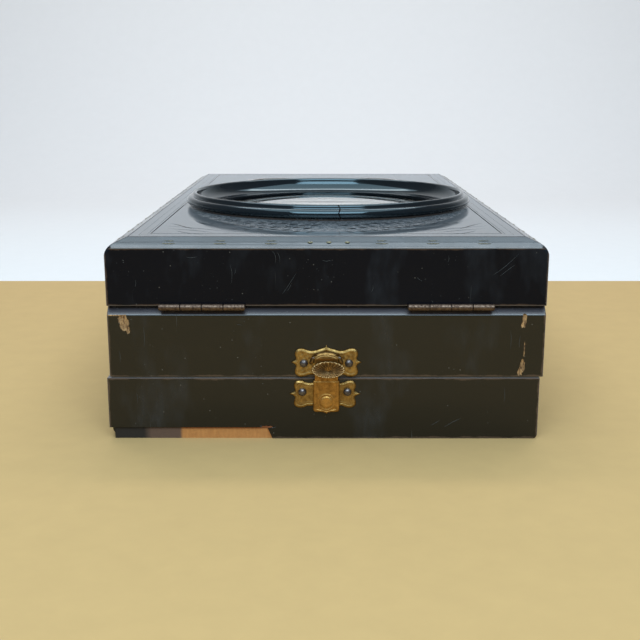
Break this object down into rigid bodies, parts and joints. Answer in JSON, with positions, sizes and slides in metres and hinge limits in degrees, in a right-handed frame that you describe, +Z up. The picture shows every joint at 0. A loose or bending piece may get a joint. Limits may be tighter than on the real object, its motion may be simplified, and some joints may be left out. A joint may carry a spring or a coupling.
{
  "type": "folding stereo viewer",
  "caption": "Folding box stereo viewer in ebonised wood with a large reading lens, a pair of stereo lenses, an inner easel, brass catch and a card box, shown closed.",
  "frame": {"origin": "centre of the underside of the card box, midway between the platform's side walls and between its front and back faces", "axes": "+X to the right seen from the catch side, +Y from the catch to the back, +Z up through the large lens when closed"},
  "size_m": [0.2265, 0.4185, 0.115],
  "materials": {
    "ebonised_wood": "black stained, varnished, worn",
    "lacquered_ring": "turned, black gloss lacquer",
    "inner_wood": "thin shellac",
    "brass": "pressed, aged, lightly tarnished",
    "hinge_brass": "brown patina",
    "steel": "dulled",
    "lens_glass": "polished"
  },
  "bodies": {
    "card_box": {"box_front": "ebonised_wood", "box_back": "ebonised_wood", "box_left": "ebonised_wood", "box_right": "ebonised_wood", "box_floor": "inner_wood", "keeper_plate": "brass", "keeper_pin_left": "steel", "keeper_pin_right": "steel", "rear_hinge_left_lower_leaf": "hinge_brass", "rear_hinge_right_lower_leaf": "hinge_brass", "rear_hinge_left_pin": "steel", "rear_hinge_right_pin": "steel"},
    "platform": {"platform_front": "ebonised_wood", "platform_back": "ebonised_wood", "platform_left": "ebonised_wood", "platform_right": "ebonised_wood", "deck_board": "inner_wood", "carriage_rail_left": "inner_wood", "carriage_rail_right": "inner_wood", "quadrant_guide_left": "brass", "quadrant_guide_right": "brass", "catch_plate": "brass", "catch_cover": "brass", "hasp_pin": "steel", "catch_pin_left": "steel", "catch_pin_right": "steel", "rear_hinge_left_upper_leaf": "hinge_brass", "rear_hinge_right_upper_leaf": "hinge_brass", "lid_hinge_left_lower_leaf": "hinge_brass", "lid_hinge_right_lower_leaf": "hinge_brass", "lid_hinge_left_pin": "steel", "lid_hinge_right_pin": "steel"},
    "hasp": {"hasp": "brass"},
    "lens_lid": {"lid_panel": "ebonised_wood", "lid_front": "ebonised_wood", "lid_back": "ebonised_wood", "lid_left": "ebonised_wood", "lid_right": "ebonised_wood", "lens_ring": "lacquered_ring", "magnifying_lens": "lens_glass", "lens_keeper_ring": "inner_wood", "stereo_septum": "ebonised_wood", "stereo_lens_left": "lens_glass", "stereo_lens_right": "lens_glass", "stereo_cell_left": "lacquered_ring", "stereo_cell_right": "lacquered_ring", "quadrant_stay_left": "brass", "quadrant_stay_right": "brass", "lid_hinge_left_upper_leaf": "hinge_brass", "lid_hinge_right_upper_leaf": "hinge_brass"},
    "carriage": {"carriage": "inner_wood", "carriage_knob": "brass", "easel_pin": "brass"},
    "easel": {"easel_leaf": "inner_wood", "photo_ledge": "inner_wood", "slide_guide_left": "inner_wood", "slide_guide_right": "inner_wood"},
    "card_holder": {"card_slide": "inner_wood", "stereo_card_ledge": "inner_wood"}
  },
  "joints": [
    {"name": "platform_hinge", "type": "hinge", "parent": "card_box", "child": "platform", "pos_m": [0, 0.2045, 0.0336], "axis": [-1, 0, 0], "range_deg": [0, 90]},
    {"name": "hasp_hinge", "type": "hinge", "parent": "platform", "child": "hasp", "pos_m": [0, -0.2049, 0.0446], "axis": [-1, 0, 0], "range_deg": [0, 25]},
    {"name": "lid_hinge", "type": "hinge", "parent": "platform", "child": "lens_lid", "pos_m": [0, -0.2045, 0.07125], "axis": [1, 0, 0], "range_deg": [0, 70]},
    {"name": "carriage_slide", "type": "slide", "parent": "platform", "child": "carriage", "axis": [0, 1, 0], "range_m": [0, 0.16]},
    {"name": "easel_hinge", "type": "hinge", "parent": "carriage", "child": "easel", "pos_m": [0, -0.158, 0.072], "axis": [1, 0, 0], "range_deg": [0, 70]},
    {"name": "card_slide", "type": "slide", "parent": "easel", "child": "card_holder", "axis": [0, 1, 0], "range_m": [0, 0.1]}
  ],
  "couplings": [
    {"joint": "easel_hinge", "follows": "lid_hinge", "ratio": 1}
  ]
}
